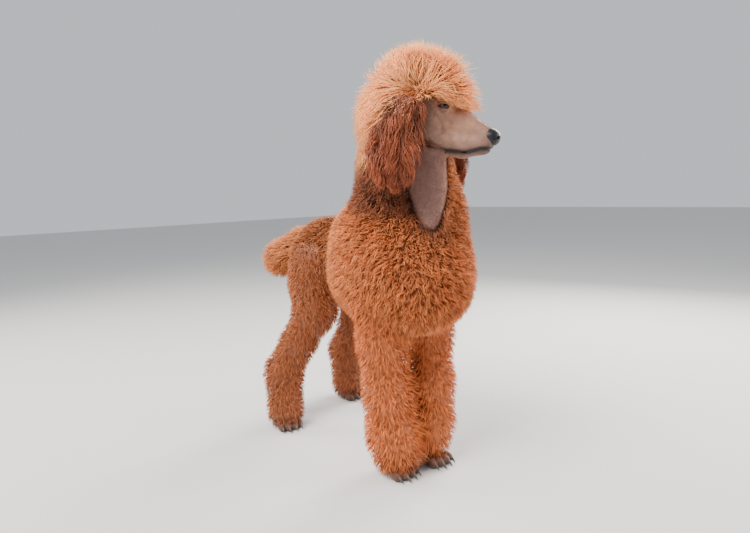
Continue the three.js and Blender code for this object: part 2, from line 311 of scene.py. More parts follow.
class Anatomy:
    """The dog's masses as fields, at a given depth under the tips of the coat."""

    def __init__(self, d: Depths) -> None:
        """Builds every zone's field.

        Args:
            d: how deep each zone's surface lies; all zero gives the outline of the coat.
        """
        ribs = egg(vec(0, 88, 488), vec(154, 184, 148) - d.jacket)
        forechest = egg(vec(0, -10, 510), vec(147, 150, 142) - d.jacket)
        brisket = egg(vec(0, -52, 448), vec(90, 84, 80) - d.jacket)
        shoulders = egg(vec(0, 72, 594), vec(144, 160, 100) - d.jacket)
        self.jacket = blend(70, ribs, forechest, brisket, shoulders)
        loin = limb(vec(0, 190, 520), vec(0, 370, 526), 98 - d.rear, 92 - d.rear)
        rump = egg(vec(0, 372, 530), vec(112, 96, 88) - d.rear)
        self.rear = blend(40, loin, rump)
        crest = [(vec(6, 22, 580), 124), (vec(-12, 30, 662), 105), (vec(-22, 12, 760), 98)]
        self.crest = chain(40, [(point, radius - d.neck) for point, radius in crest])
        column = limb(vec(14, -68, 602), vec(2, -72, 780), 72 - d.throat, 56 - d.throat)
        self.throat = lambda p: column(p) + d.neck * 0.62 * (1 - clipped_v(p))
        clipped = limb(vec(34, -186, 790), vec(12, -196, 660), 56, 34)
        fold = egg(vec(60, -62, 636), vec(54, 52, 78) - d.neck * 0.8)
        self.neck = carve(blend(40, self.crest, self.throat, fold), clipped, 26)
        if d.topknot:
            crown = egg(vec(0, 66, 2), vec(72, 88, 76))
            nape = limb(vec(0, 84, -10), vec(0, 96, -110), 62, 66)
            self.topknot = HEAD.place(carve(blend(30, crown, nape), bare_brow, 10))
        else:
            dome = egg(vec(0, 55, -16), vec(126, 151, 144), -0.08)
            self.topknot = HEAD.place(carve(dome, face_opening, 16))
            self.dome = HEAD.place(carve(dome, under_fringe, 8))
        self.ears = [HEAD.place(self.ear(s, d.ear)) for s in SIDES]
        self.forelegs = [self.foreleg(s, d.foreleg) for s in SIDES]
        self.hindlegs = [self.hindleg(s, d.hindleg) for s in SIDES]
        self.tail = chain(20, [(vec(0, 430, 560), 40 - d.tail * 0.5), (vec(-26, 496, 536), 59 - d.tail),
                               (vec(-68, 572, 494), 62 - d.tail)])
        self.toes = [blend(5, *self.paw_toes(s, fore, d.toe)) for s in SIDES for fore in (True, False)]
        trunk = blend(16, self.jacket, self.rear)
        body = blend(30, trunk, self.neck, *self.forelegs, *self.hindlegs)
        self.hairy = blend(20, body, self.topknot, self.tail)
        self.whole = blend(8, self.hairy, *self.ears, *self.toes)

    @staticmethod
    def ear(s: Side, depth: float) -> Field:
        """Makes an ear: a leather and its feathering, hung from the side of the skull."""
        return blend(
            40,
            egg(vec(s.side * 98, 58 - s.ear_swing / 2, -16), vec(30, 54, 40) - depth),
            egg(vec(s.side * 110, 68 - s.ear_swing, -92), vec(30, 70, 62) - depth),
            egg(vec(s.side * 106, 60 - s.ear_swing, -145), vec(26, 56, 47) - depth),
        )

    @staticmethod
    def foreleg(s: Side, depth: float) -> Field:
        """Makes a foreleg down to its cuff."""
        cuff = vec(s.forepaw[0] - s.side * 2, s.forepaw[1] + 8, 48)
        joints = [(vec(s.side * 74, 30, 430), 68), (s.elbow, 64), (s.forearm, 62),
                  (s.wrist, s.cuff_radius + 4), (cuff, s.cuff_radius)]
        return chain(30, [(point, radius - depth) for point, radius in joints])

    @staticmethod
    def hindleg(s: Side, depth: float) -> Field:
        """Makes a thigh and hind leg down to its cuff."""
        cuff = vec(s.hindpaw[0], s.hindpaw[1] + 10, 50)
        joints = [(s.hip, 82), (s.stifle, 62), (s.shin, 53), (s.hock, 57), (cuff, 61)]
        ham = egg(s.hip + vec(0, 52, -62), vec(62, 79, 95) - depth)
        return blend(30, chain(36, [(point, radius - depth) for point, radius in joints]), ham)

    @staticmethod
    def paw_toes(s: Side, fore: bool, depth: float) -> list[Field]:
        """Makes the four toes of a paw."""
        pose, places = paw_frame(s, fore)
        return [pose.place(egg(place, TOE_RADII - depth)) for place in places]


def paw_frame(s: Side, fore: bool) -> tuple[Pose, list[Array]]:
    """Returns a paw's frame and the middles of its toes in that frame."""
    place, turn = (s.forepaw, s.forepaw_turn) if fore else (s.hindpaw, s.hindpaw_turn)
    ahead = FORE_TOES_AHEAD if fore else HIND_TOES_AHEAD
    return Pose.turned(place, turn), [vec(x, ahead + abs(x) * 0.45, 13) for x in TOE_SPREAD]


class Face:
    """The clipped face, in the head's own frame: skull, cheeks, muzzle, lips, jaw and lids."""

    mouth_height = -91.0
    mouth_corner = -12.0
    eye_half_width = 14.5
    eye_above = 4.0
    eye_below = 4.6
    eye_slant = 0.12
    lid_thickness = 2.2

    def __init__(self) -> None:
        """Builds the face's fields."""
        parts = [egg(vec(0, 46, 2), vec(50, 74, 44))]
        for side in (-1, 1):
            parts.append(egg(vec(side * 32, 30, -42), vec(21, 44, 36)))
            parts.append(chain(12, [(vec(side * 14, 2, -68), 20), (vec(side * 12, -58, -71), 17.5),
                                    (vec(side * 7.5, -107, -64), 13)]))
            parts.append(egg(vec(side * 22, -8, 13), vec(17, 14, 9)))
        parts.append(chain(16, [(vec(0, 6, -21), 29), (vec(0, -48, -30), 25.5), (vec(0, -98, -46.5), 19.5)]))
        parts.append(chain(12, [(vec(0, 30, -88), 22), (vec(0, -58, -88), 13), (vec(0, -103, -78.5), 9.5)]))
        flesh = blend(14, *parts)
        hollow = [egg(vec(side * 38, -40, -26), vec(13, 30, 12)) for side in (-1, 1)]
        for dip in hollow:
            flesh = carve(flesh, dip, 16)
        flesh = carve(flesh, self.mouth(flesh), 2.0)
        for side in (-1, 1):
            flesh = self.add_eye(flesh, side)
        self.field = HEAD.place(flesh)

    def mouth(self, flesh: Field) -> Field:
        """Makes the thin slit of the closed mouth, no deeper than the lips."""

        def slit(p: Array) -> Array:
            """Returns the distance to the slit."""
            line = self.mouth_line(p[:, 1])
            behind = p[:, 1] - self.mouth_corner
            return np.maximum.reduce([np.abs(p[:, 2] - line) - 1.3, behind, -(flesh(p) + 6.5)])

        return slit

    def mouth_line(self, y: Array) -> Array:
        """Returns the height of the mouth along the muzzle, dipping to its corner."""
        return self.mouth_height + 15.5 * ramp(-y, 58, 114) + 1.5 * ramp(-y, 14, 40)

    @staticmethod
    def gaze(side: int) -> Array:
        """Returns where an eye looks, in the head's frame."""
        return unit(vec(side * 0.80, -0.58, 0.06))

    def add_eye(self, flesh: Field, side: int) -> Field:
        """Sets a socket with an upper and a lower lid into the face.

        Args:
            flesh: the face so far.
            side: -1 on the right, 1 on the left.

        Returns:
            The face with its socket.
        """
        centre, gaze = eye_place(side), self.gaze(side)
        along = unit(np.cross(vec(0, 0, 1), gaze)) * side
        over = np.cross(gaze, along) * side

        def with_lids(p: Array) -> Array:
            """Returns the distance to the face, swollen into lids that part over the eyeball."""
            d = p - centre
            r = np.linalg.norm(d, axis=1)
            u, v, w = d @ along, d @ over, d @ gaze
            reach = np.clip(1 - (u / self.eye_half_width) ** 2, 0, 1)
            top = self.eye_above * reach - self.eye_slant * u
            bottom = -self.eye_below * reach - self.eye_slant * u
            slit = np.maximum.reduce([v - top, bottom - v, -w])
            lid = smooth_min(r - EYE_RADIUS - self.lid_thickness, flesh(p), 6)
            return -smooth_min(-lid, np.maximum(slit, EYE_RADIUS - 1.6 - r), 0.8)

        return with_lids


SKIN_DEPTHS = Depths(
    topknot=46, ear=16, neck=26, throat=3, jacket=25, rear=12, foreleg=19, hindleg=16, tail=28, toe=1.5,
)


class Zone(Enum):
    """The kinds of coat that the dog wears, by where they grow."""

    FACE = 0
    THROAT = 1
    TOPKNOT = 2
    EAR = 3
    NECK = 4
    JACKET = 5
    REAR = 6
    FORELEG = 7
    HINDLEG = 8
    TAIL = 9
    TOE = 10


# The colour of each zone's hair, as linear light. The neck's colour is darkened as painted shade under the ear;
# the topknot's is raised, partly its own apricot and partly painted light on the top of the head
COLOURS: dict[Zone, Colour] = {
    Zone.FACE: (0.318, 0.172, 0.122),
    Zone.THROAT: (0.192, 0.112, 0.096),
    # partly painted light: raised for the strong light on the top of the head
    Zone.TOPKNOT: (0.950, 0.400, 0.150),
    Zone.EAR: (0.290, 0.066, 0.026),
    # painted shade: the neck under the ear is coloured darker than its hair
    Zone.NECK: (0.200, 0.056, 0.024),
    Zone.JACKET: (0.600, 0.180, 0.055),
    Zone.REAR: (0.400, 0.125, 0.040),
    Zone.FORELEG: (0.740, 0.195, 0.050),
    Zone.HINDLEG: (0.430, 0.120, 0.036),
    Zone.TAIL: (0.640, 0.210, 0.065),
    Zone.TOE: (0.110, 0.050, 0.032),
}


MUZZLE_SHADE = vec(0.055, 0.040, 0.040)
LIP_BLACK = vec(0.014, 0.012, 0.014)
LID_BLACK = vec(0.030, 0.022, 0.022)


class Dog:
    """The whole dog: its outline, its skin and the colour that skin and coat share, their own pattern with
    painted shade and painted highlights.
    """

    softness = 7.0

    def __init__(self) -> None:
        """Builds the fields of outline and skin."""
        self.outline = Anatomy(Depths())
        self.flesh = Anatomy(SKIN_DEPTHS)
        self.face = Face()
        self.skin = self.on_floor(blend(8, self.flesh.whole, self.face.field))

    @staticmethod
    def on_floor(body: Field) -> Field:
        """Flattens what would reach through the floor."""
        return lambda p: np.maximum(body(p), 1.0 - p[:, 2])

    def zones(self, p: Array) -> Array:
        """Returns each zone's own distance from points, one column a zone.

        Args:
            p: points on or near the skin.

        Returns:
            An array of distances, in the order of Zone.
        """

        def lowest(fields: Sequence[Field]) -> Array:
            """Returns the distance from the nearest of several."""
            return np.min([one(p) for one in fields], axis=0)

        f = self.flesh
        head = HEAD.local(p)
        throat = np.where(clipped_v(p) > 0.5, -8.0, 30.0)
        neck = np.minimum(smooth_min(f.crest(p), f.throat(p), 20), f.neck(p))
        face = self.face.field(p) + 80 * ramp(head[:, 2] - 0.10 * head[:, 1], 14, 20)
        topknot = f.topknot(p) + 60 * ramp(-head[:, 2], 90, 120)
        neck = neck + 60 * ramp(head[:, 2], -90, -60)
        return np.stack([
            face, throat, topknot, lowest(f.ears), neck, f.jacket(p), f.rear(p), lowest(f.forelegs),
            lowest(f.hindlegs), f.tail(p), lowest(f.toes),
        ], 1)

    def zone_of(self, p: Array) -> Array:
        """Returns the number of the zone that each point lies in."""
        return np.argmin(self.zones(p), axis=1)

    def markings_and_painted_light(self, p: Array) -> Array:
        """Returns the coat's colour at points, soft where two zones meet, with painted shade and painted
        highlights on the neck and face.

        Args:
            p: points on or near the skin.

        Returns:
            One linear colour for each point.
        """
        d = self.zones(p)
        w = np.exp(-(d - d.min(1, keepdims=True)) / self.softness)
        colour = w @ np.array([COLOURS[zone] for zone in Zone]) / w.sum(1, keepdims=True)
        jacket, neck = np.array(COLOURS[Zone.JACKET]), np.array(COLOURS[Zone.NECK])
        # painted light: on the dog's left side of the throat's V the neck's painted shade is lifted towards the
        # jacket's colour
        painted_light_on_neck = w[:, Zone.NECK.value] / w.sum(1) * ramp(p @ ACROSS_CHEST - V_MIDDLE, 10, 44)
        colour += painted_light_on_neck[:, None] * (jacket * 0.85 - neck)
        head = HEAD.local(p)
        on_face = np.exp(-np.maximum(self.face.field(p), 0) / 3)
        muzzle = on_face * ramp(-head[:, 1], 66, 112) * 0.45
        colour = colour * (1 - muzzle[:, None]) + MUZZLE_SHADE * muzzle[:, None]
        # partly painted highlight: the upper face towards the bridge is painted lighter, and partly its own
        # warmer golden tone
        golden_tone_and_highlight = on_face * ramp(-head[:, 1], -14, 50) * ramp(head[:, 2], -78, -30) * 0.55
        colour = colour * (1 + golden_tone_and_highlight[:, None] * vec(0.22, 0.10, -0.10))
        shaded = on_face * np.maximum(ramp(head[:, 1], -20, 30) * 0.5, ramp(-head[:, 2], 58, 88) * 0.22)
        colour = colour * (1 - shaded[:, None])
        lips = on_face * np.exp(-((head[:, 2] - self.face.mouth_line(head[:, 1]) + 0.8) / 5.4) ** 2)
        lips *= ramp(-head[:, 1], 4, 16)
        lips = np.clip(1.25 * lips, 0, 0.95)[:, None]
        colour = colour * (1 - lips) + LIP_BLACK * lips
        for side in (-1, 1):
            near = np.linalg.norm(head - eye_place(side), axis=1)
            rim = on_face * (1 - ramp(near, EYE_RADIUS + 0.6, EYE_RADIUS + 3.4)) * 0.92
            colour = colour * (1 - rim[:, None]) + LID_BLACK * rim[:, None]
        low = ramp(-p[:, 2], -70, -8)[:, None] * 0.30
        return colour * (1 - low)


def surface_net(body: Field, low: Array, high: Array, cell: float) -> tuple[Array, Array]:
    """Draws a closed net of quads over a field.

    Args:
        body: the field.
        low: the box's lowest corner.
        high: its highest corner.
        cell: the spacing of the grid.

    Returns:
        The points, and the quads as rows of four indices.
    """
    axes = [np.arange(low[i], high[i] + cell, cell) for i in range(3)]
    grid = np.stack(np.meshgrid(*axes, indexing="ij"), -1)
    shape = grid.shape[:3]
    values = body(grid.reshape(-1, 3)).reshape(shape)
    outer = np.ones(shape, bool)
    outer[1:-1, 1:-1, 1:-1] = False
    values[outer] = np.maximum(values[outer], cell)
    inside = values < 0
    corners = [(i, j, k) for i in (0, 1) for j in (0, 1) for k in (0, 1)]
    cells = tuple(n - 1 for n in shape)

    def part(data: Array, c: tuple[int, ...]) -> Array:
        """Returns the data at one corner of every cell."""
        return data[c[0]:c[0] + cells[0], c[1]:c[1] + cells[1], c[2]:c[2] + cells[2]]

    total, count = np.zeros(cells + (3,)), np.zeros(cells)
    for c in corners:
        for axis in range(3):
            if c[axis]:
                continue
            other = tuple(1 if a == axis else c[a] for a in range(3))
            va, vb = part(values, c), part(values, other)
            crossed = (va < 0) != (vb < 0)
            t = np.where(crossed, va / np.where(crossed, va - vb, 1), 0)
            point = np.zeros(cells + (3,)) + np.array(c, float)
            point[..., axis] += t
            total += point * crossed[..., None]
            count += crossed
    used = count > 0
    number = np.full(cells, -1)
    number[used] = np.arange(used.sum())
    base = np.stack(np.nonzero(used), 1)
    points = np.asarray(low, float) + (base + total[used] / count[used][:, None]) * cell
    quads = []
    for axis in range(3):
        b, c = (axis + 1) % 3, (axis + 2) % 3
        step = [0, 0, 0]
        step[axis] = 1
        first = inside[tuple(slice(0, n - s) for n, s in zip(shape, step))]
        second = inside[tuple(slice(s, n) for n, s in zip(shape, step))]
        at = np.stack(np.nonzero(first != second), 1)
        outward = first[tuple(at.T)]
        ring = []
        for db, dc in ((-1, -1), (0, -1), (0, 0), (-1, 0)):
            beside = at.copy()
            beside[:, b] += db
            beside[:, c] += dc
            ring.append(number[tuple(beside.T)])
        ring = np.stack(ring, 1)
        ring[~outward] = ring[~outward][:, ::-1]
        quads.append(ring)
    return points, np.concatenate(quads)


def settle(body: Field, points: Array, rounds: int = 3) -> Array:
    """Moves points onto a field's surface along its slope."""
    for _ in range(rounds):
        slope = slopes(body, points)
        steep = np.maximum((slope**2).sum(1), 0.05)
        points = points - (np.clip(body(points) / steep, -3, 3))[:, None] * slope
    return points


def in_metres(points: Array, origin: Array) -> Array:
    """Returns points of the dog as metres in the frame."""
    return (points + origin) * MM


def new_mesh(name: str, points: Array, faces: Array, smooth: bool = True) -> bpy.types.Object:
    """Makes a mesh object from arrays.

    Args:
        name: the piece's name.
        points: its vertices, in metres.
        faces: its faces, as rows of equal length.
        smooth: whether it is shaded smooth.

    Returns:
        The object, linked to the scene.
    """
    corners = faces.shape[1]
    mesh = bpy.data.meshes.new(name)
    mesh.vertices.add(len(points))
    mesh.vertices.foreach_set("co", np.asarray(points, np.float32).ravel())
    mesh.loops.add(faces.size)
    mesh.loops.foreach_set("vertex_index", faces.astype(np.int32).ravel())
    mesh.polygons.add(len(faces))
    mesh.polygons.foreach_set("loop_start", np.arange(0, faces.size, corners, dtype=np.int32))
    mesh.polygons.foreach_set("use_smooth", np.full(len(faces), smooth))
    mesh.update(calc_edges=True)
    piece = bpy.data.objects.new(name, mesh)
    bpy.context.scene.collection.objects.link(piece)
    return piece


def paint(mesh: bpy.types.Mesh, name: str, values: Array) -> None:
    """Stores a colour for each vertex under a name."""
    layer = mesh.color_attributes.new(name, "FLOAT_COLOR", "POINT")
    rgba = np.ones((len(mesh.vertices), 4), np.float32)
    rgba[:, : values.shape[1]] = values
    layer.data.foreach_set("color", rgba.ravel())


class Value:
    """A shader socket that adds its maths nodes as an expression is written."""

    def __init__(self, tree: "Shader", socket: bpy.types.NodeSocket) -> None:
        """Wraps a socket of a tree."""
        self.tree = tree
        self.socket = socket

    def _math(self, operation: str, *inputs: "Value | float") -> "Value":
        """Adds a Math node."""
        return self.tree.node("ShaderNodeMath", {"operation": operation}, dict(enumerate(inputs)))

    def __add__(self, other: "Value | float") -> "Value":
        """Adds."""
        return self._math("ADD", self, other)

    def __radd__(self, other: float) -> "Value":
        """Adds, with the number first."""
        return self._math("ADD", other, self)

    def __mul__(self, other: "Value | float") -> "Value":
        """Multiplies."""
        return self._math("MULTIPLY", self, other)

    def __rmul__(self, other: float) -> "Value":
        """Multiplies, with the number first."""
        return self._math("MULTIPLY", other, self)

    def __pow__(self, power: float) -> "Value":
        """Raises to a power."""
        return self._math("POWER", self, power)


class Shader:
    """A material's node tree, with one method for every node."""

    def __init__(self, name: str) -> None:
        """Makes a material with a Principled shader."""
        self.material = bpy.data.materials.new(name)
        self.material.use_nodes = True
        self.nodes = self.material.node_tree.nodes
        self.links = self.material.node_tree.links
        self.principled = self.nodes["Principled BSDF"]

    def plug(self, socket: bpy.types.NodeSocket, value: "Value | float | Sequence[float]") -> None:
        """Links a value to a socket, or sets the socket."""
        if isinstance(value, Value):
            self.links.new(value.socket, socket)
        else:
            socket.default_value = value

    def node(self, kind: str, settings: dict, inputs: dict, output: int | str = 0) -> Value:
        """Adds a node of any type.

        Args:
            kind: the node's type.
            settings: its own settings, set first. The key stops holds a ramp's stops.
            inputs: values or links of its sockets, by name or number.
            output: the socket that is handed back.

        Returns:
            The output as a value.
        """
        made = self.nodes.new(kind)
        for key, setting in settings.items():
            if key == "stops":
                self.set_stops(made.color_ramp, setting)
            else:
                setattr(made, key, setting)
        for key, value in inputs.items():
            self.plug(made.inputs[key], value)
        return Value(self, made.outputs[output])

    @staticmethod
    def set_stops(colour_ramp: bpy.types.ColorRamp, stops: Sequence[tuple[float, Colour]]) -> None:
        """Sets a colour ramp's stops."""
        while len(colour_ramp.elements) < len(stops):
            colour_ramp.elements.new(0.5)
        for element, (place, colour) in zip(colour_ramp.elements, stops):
            element.position = place
            element.color = (*colour, 1)

    def position(self) -> Value:
        """Returns the place on the object, in metres."""
        return self.node("ShaderNodeTexCoord", {}, {}, "Object")

    def painted(self, name: str) -> Value:
        """Returns a colour stored on the mesh."""
        return self.node("ShaderNodeAttribute", {"attribute_name": name}, {}, "Color")

    def channels(self, colour: Value) -> tuple[Value, Value, Value]:
        """Splits a colour into three numbers."""
        first = self.node("ShaderNodeSeparateColor", {}, {0: colour}, 0)
        outputs = first.socket.node.outputs
        return first, Value(self, outputs[1]), Value(self, outputs[2])

    def noise(self, scale: float, detail: float = 2.0, where: Value | None = None) -> Value:
        """Returns a soft noise around 0.5."""
        inputs = {"Vector": where or self.position(), "Scale": scale, "Detail": detail}
        return self.node("ShaderNodeTexNoise", {}, inputs, 0)

    def mix(self, factor: Value, a: Sequence[float], b: Sequence[float]) -> Value:
        """Mixes two colours."""
        return self.node("ShaderNodeMix", {"data_type": "RGBA"}, {0: factor, 6: a, 7: b}, 2)

    def scaled(self, colour: Value, factor: Value) -> Value:
        """Multiplies a colour by a number."""
        return self.node("ShaderNodeVectorMath", {"operation": "SCALE"}, {0: colour, "Scale": factor})

    def bump(self, height: Value, distance: float, strength: float = 1.0) -> None:
        """Raises the surface's shading by a height, in metres."""
        inputs = {"Strength": strength, "Distance": distance, "Height": height}
        normal = self.node("ShaderNodeBump", {}, inputs)
        self.links.new(normal.socket, self.principled.inputs["Normal"])

    def set(self, **sockets: "Value | float | Sequence[float]") -> None:
        """Sets sockets of the Principled shader, with spaces written as underscores."""
        for key, value in sockets.items():
            self.plug(self.principled.inputs[key.replace("_", " ")], value)


@dataclass(frozen=True)
class HairFinish:
    """The finish of tufts: colour from the coat's pattern and its painted light, with painted shade at the root
    and lighter at the tip.
    """

    name: str
    root_shade: float = 0.42
    tip_light: float = 1.12
    spread: float = 0.34
    glow: Colour = (1.0, 0.55, 0.30)
    sheen: float = 0.12
    roughness: float = 0.62
    # patch and patch_scale: how strongly and how finely patches of painted clump shade and light vary the
    # colour
    patch: float = 0.7
    patch_scale: float = 50.0

    def material(self) -> bpy.types.Material:
        """Makes the material."""
        s = Shader(self.name)
        along, tint, _ = s.channels(s.painted("strand"))
        patch = s.noise(self.patch_scale, 3.0)
        # painted shade at the root, deep in the coat, rising to lighter tips
        light = self.root_shade + (self.tip_light - self.root_shade) * (along ** 0.75)
        strand = 1.0 - self.spread * 0.5 + self.spread * tint
        # painted shade and light: the colour is darkened and lightened in patches the size of curl clumps
        clump = 1.0 - self.patch * 0.5 + self.patch * patch
        colour = s.scaled(s.painted("markings_and_painted_light"), light * strand * clump)
        s.set(Base_Color=colour, Roughness=self.roughness, Sheen_Weight=self.sheen, Sheen_Roughness=0.5,
              Sheen_Tint=(*self.glow, 1), Specular_IOR_Level=0.25)
        return s.material


@dataclass(frozen=True)
class SkinFinish:
    """The finish of the skin: the coat's own colour and painted light under short lying hair, with painted
    shade where the coat covers it.
    """

    name: str = "skin_finish"

    def material(self) -> bpy.types.Material:
        """Makes the material."""
        s = Shader(self.name)
        _, bare, _ = s.channels(s.painted("strand"))
        along_hair = s.node("ShaderNodeMapping", {}, {"Vector": s.position(), "Scale": (1.0, 1.0, 0.35)})
        hair = s.noise(900.0, 2.0, along_hair)
        mottled = s.noise(70.0, 3.0)
        # painted shade: skin under the coat is painted darker, so the gaps between tufts read as shadow
        shade = (0.55 + 0.45 * bare) * (0.22 + 0.60 * hair + 0.96 * mottled)
        colour = s.scaled(s.painted("markings_and_painted_light"), shade)
        s.bump(hair * 0.6 + mottled * 0.4, 0.0006, 0.6)
        s.set(Base_Color=colour, Roughness=0.58, Sheen_Weight=0.12, Sheen_Tint=(0.8, 0.65, 0.6, 1),
              Specular_IOR_Level=0.35)
        return s.material


@dataclass(frozen=True)
class LeatherFinish:
    """The damp pebbled leather of the nose."""

    name: str = "nose_finish"

    def material(self) -> bpy.types.Material:
        """Makes the material."""
        s = Shader(self.name)
        pebble = s.node("ShaderNodeTexVoronoi", {"feature": "SMOOTH_F1"},
                        {"Vector": s.position(), "Scale": 620.0, "Smoothness": 0.6}, "Distance")
        worn = s.noise(160.0, 2.0)
        colour = s.mix(worn, (0.004, 0.004, 0.005, 1), (0.012, 0.012, 0.016, 1))
        s.bump(pebble, 0.0006, 0.7)
        s.set(Base_Color=colour, Roughness=0.30 + 0.16 * worn, Specular_IOR_Level=0.32)
        return s.material


@dataclass(frozen=True)
class EyeFinish:
    """The wet eye: a black pupil in a brown iris, painted by ring from the middle of the gaze."""

    name: str = "eye_finish"

    def material(self) -> bpy.types.Material:
        """Makes the material."""
        s = Shader(self.name)
        ring, _, _ = s.channels(s.painted("strand"))
        stops = [(0.0, (0.002, 0.002, 0.003)), (0.30, (0.002, 0.002, 0.003)), (0.36, (0.075, 0.030, 0.010)),
                 (0.56, (0.040, 0.015, 0.006)), (0.64, (0.006, 0.005, 0.005)), (1.0, (0.10, 0.07, 0.06))]
        streaks = s.noise(1400.0, 2.0)
        iris = s.node("ShaderNodeValToRGB", {"stops": stops}, {0: ring})
        s.set(Base_Color=s.scaled(iris, 0.7 + 0.6 * streaks), Roughness=0.12, Coat_Weight=0.2,
              Specular_IOR_Level=0.5)
        return s.material


@dataclass(frozen=True)
class HornFinish:
    """The dark horn of the claws, streaked along its length."""

    name: str = "claw_finish"

    def material(self) -> bpy.types.Material:
        """Makes the material."""
        s = Shader(self.name)
        stretched = s.node("ShaderNodeMapping", {}, {"Vector": s.position(), "Scale": (1.0, 0.2, 1.0)})
        streak = s.noise(700.0, 3.0, stretched)
        colour = s.mix(streak, (0.022, 0.015, 0.013, 1), (0.110, 0.075, 0.055, 1))
        s.bump(streak, 0.0002, 0.5)
        s.set(Base_Color=colour, Roughness=0.34 + 0.15 * streak, Specular_IOR_Level=0.5)
        return s.material


@dataclass(frozen=True)
class FloorFinish:
    """A plain pale floor."""

    name: str = "floor_finish"

    def material(self) -> bpy.types.Material:
        """Makes the material."""
        s = Shader(self.name)
        s.set(Base_Color=(0.62, 0.61, 0.60, 1), Roughness=0.8)
        return s.material


class Skin:
    """The one skin under the coat, finest round the eyes and over the face."""

    cell = 9.0
    low = vec(-230, -270, -6)
    high = vec(230, 660, 1010)

    def __init__(self, dog: Dog, origin: Array) -> None:
        """Builds the skin's mesh and its unwrap.

        Args:
            dog: the dog.
            origin: where its own origin lies in the frame, in millimetres.
        """
        self.dog, self.origin = dog, origin
        points, quads = surface_net(dog.skin, self.low, self.high, self.cell)
        points = settle(dog.skin, points, 2)
        self.piece = new_mesh("poodle_skin", in_metres(points, origin), quads)
        for reach, centre in self.fine_places():
            self.refine(reach, centre)
        self.dress()

    def fine_places(self) -> Iterable[tuple[float, Array]]:
        """Yields the places whose mesh is cut finer, each time to half the size."""
        muzzle = HEAD.world(vec(0, -44, -44))
        yield 108, muzzle
        yield 100, muzzle
        for side in (-1, 1):
            yield 27, HEAD.world(eye_place(side))
            yield 19, HEAD.world(eye_place(side))
        yield 58, HEAD.world(vec(0, -52, -78))
        for s in SIDES:
            for fore in (True, False):
                pose, _ = paw_frame(s, fore)
                yield 46, pose.world(vec(0, -42, 12))

    def refine(self, reach: float, centre: Array) -> None:
        """Cuts the edges near a place in two and settles the new points on the skin."""
        mesh = self.piece.data
        bm = bmesh.new()
        bm.from_mesh(mesh)
        middle = Vector(in_metres(centre[None], self.origin)[0])
        near = {v for v in bm.verts if (v.co - middle).length < reach * MM}
        edges = [e for e in bm.edges if e.verts[0] in near and e.verts[1] in near]
        bmesh.ops.subdivide_edges(bm, edges=edges, cuts=1, use_grid_fill=True)
        bm.to_mesh(mesh)
        bm.free()
        co = np.empty(len(mesh.vertices) * 3, np.float32)
        mesh.vertices.foreach_get("co", co)
        points = co.reshape(-1, 3).astype(float) / MM - self.origin
        moved = np.linalg.norm(points - centre, axis=1) < reach + 6
        points[moved] = settle(self.dog.skin, points[moved], 3)
        mesh.vertices.foreach_set("co", in_metres(points, self.origin).astype(np.float32).ravel())
        mesh.update()

    def dress(self) -> None:
        """Triangulates, unwraps and paints the skin."""
        mesh = self.piece.data
        bm = bmesh.new()
        bm.from_mesh(mesh)
        bmesh.ops.dissolve_degenerate(bm, dist=1e-6, edges=bm.edges[:])
        bmesh.ops.triangulate(bm, faces=bm.faces[:])
        bm.to_mesh(mesh)
        bm.free()
        mesh.polygons.foreach_set("use_smooth", np.ones(len(mesh.polygons), bool))
        mesh.uv_layers.new(name=BAKE_MAP)
        bpy.context.view_layer.objects.active = self.piece
        self.piece.select_set(True)
        bpy.ops.object.mode_set(mode="EDIT")
        bpy.ops.mesh.select_all(action="SELECT")
        bpy.ops.uv.smart_project(angle_limit=math.radians(70), island_margin=0.003)
        bpy.ops.object.mode_set(mode="OBJECT")
        self.piece.select_set(False)
        co = np.empty(len(mesh.vertices) * 3, np.float32)
        mesh.vertices.foreach_get("co", co)
        self.points = co.reshape(-1, 3).astype(float) / MM - self.origin
        index = np.empty(len(mesh.loops), np.int32)
        mesh.loops.foreach_get("vertex_index", index)
        self.triangles = index.reshape(-1, 3)
        uv = np.empty(len(mesh.loops) * 2, np.float32)
        mesh.uv_layers[BAKE_MAP].data.foreach_get("uv", uv)
        self.uv = uv.reshape(-1, 3, 2)
        paint(mesh, "markings_and_painted_light", self.dog.markings_and_painted_light(self.points))
        zone = self.dog.zone_of(self.points)
        bare = np.isin(zone, [Zone.FACE.value, Zone.THROAT.value, Zone.TOE.value]).astype(float)
        paint(mesh, "strand", np.stack([bare, bare, bare], 1))
        mesh.materials.append(SkinFinish().material())

    def scatter(self, count: int, rng: np.random.Generator, wanted: Sequence[Zone]) -> dict[str, Array]:
        """Spreads roots evenly over the zones that are asked for.

        Args:
            count: how many roots.
            rng: the source of chance.
            wanted: the zones.

        Returns:
            The roots' points, normals, zones and places on the unwrap.
        """
        tri = self.points[self.triangles]
        cross = np.cross(tri[:, 1] - tri[:, 0], tri[:, 2] - tri[:, 0])
        area = np.linalg.norm(cross, axis=1) / 2
        zone = self.dog.zone_of(tri.mean(1))
        weight = area * np.isin(zone, [z.value for z in wanted])
        steps = (np.arange(count) + rng.random(count)) / count
        chosen = np.searchsorted(np.cumsum(weight) / weight.sum(), steps)
        chosen = np.minimum(chosen, len(weight) - 1)
        a, b = rng.random(count), rng.random(count)
        fold = a + b > 1
        a[fold], b[fold] = 1 - a[fold], 1 - b[fold]
        share = np.stack([1 - a - b, a, b], 1)[:, :, None]
        points = (tri[chosen] * share).sum(1)
        return {
            "points": points,
            "normals": unit(slopes(self.dog.skin, points, 2.0)),
            "zones": zone[chosen],
            "uv": (self.uv[chosen] * share).sum(1),
        }


